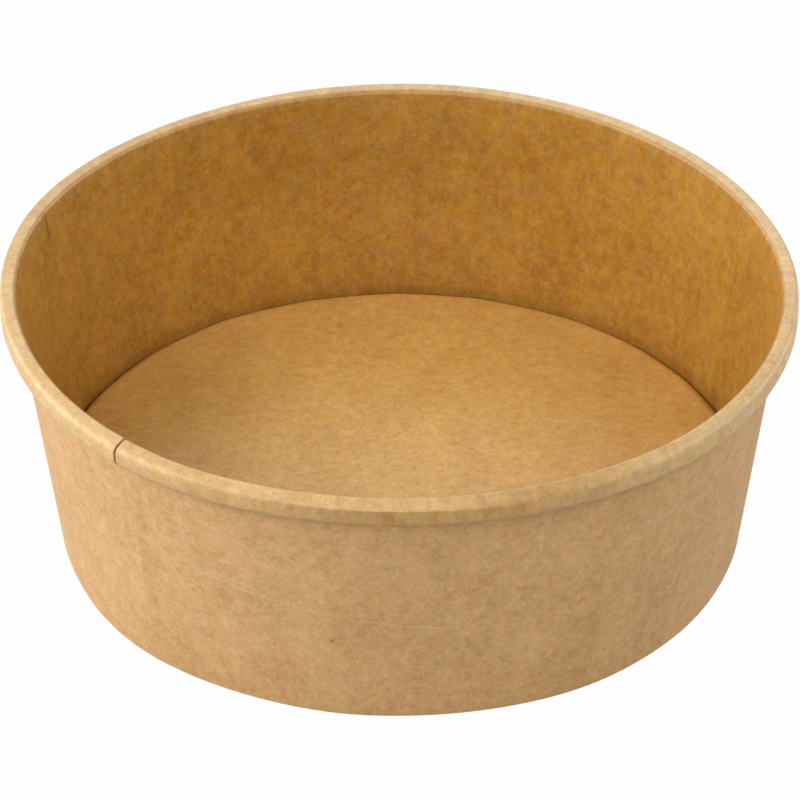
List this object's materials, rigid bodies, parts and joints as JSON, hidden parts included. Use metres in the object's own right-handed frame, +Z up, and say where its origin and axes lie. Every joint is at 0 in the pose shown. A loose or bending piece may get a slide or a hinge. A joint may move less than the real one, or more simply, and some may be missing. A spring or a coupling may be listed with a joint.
{
  "type": "kraft paper salad bowl",
  "caption": "Round kraft board salad bowl with an outward tapered wall, a hollow rolled rim, a lapped side seam and a raised floor sealed into a folded foot.",
  "frame": {"origin": "middle of the foot, on the table", "axes": "+Z up along the bowl's axis, -Y towards the front, +X to the right seen from the front"},
  "size_m": [0.184, 0.184, 0.065],
  "materials": {
    "wall_board": "uncoated brown kraft outside, thin clear coating inside, soft sheen",
    "floor_board": "brown kraft with a thin clear coating, soft sheen"
  },
  "bodies": {
    "root": {"side_wall": "wall_board", "base_disc": "floor_board"}
  },
  "joints": []
}
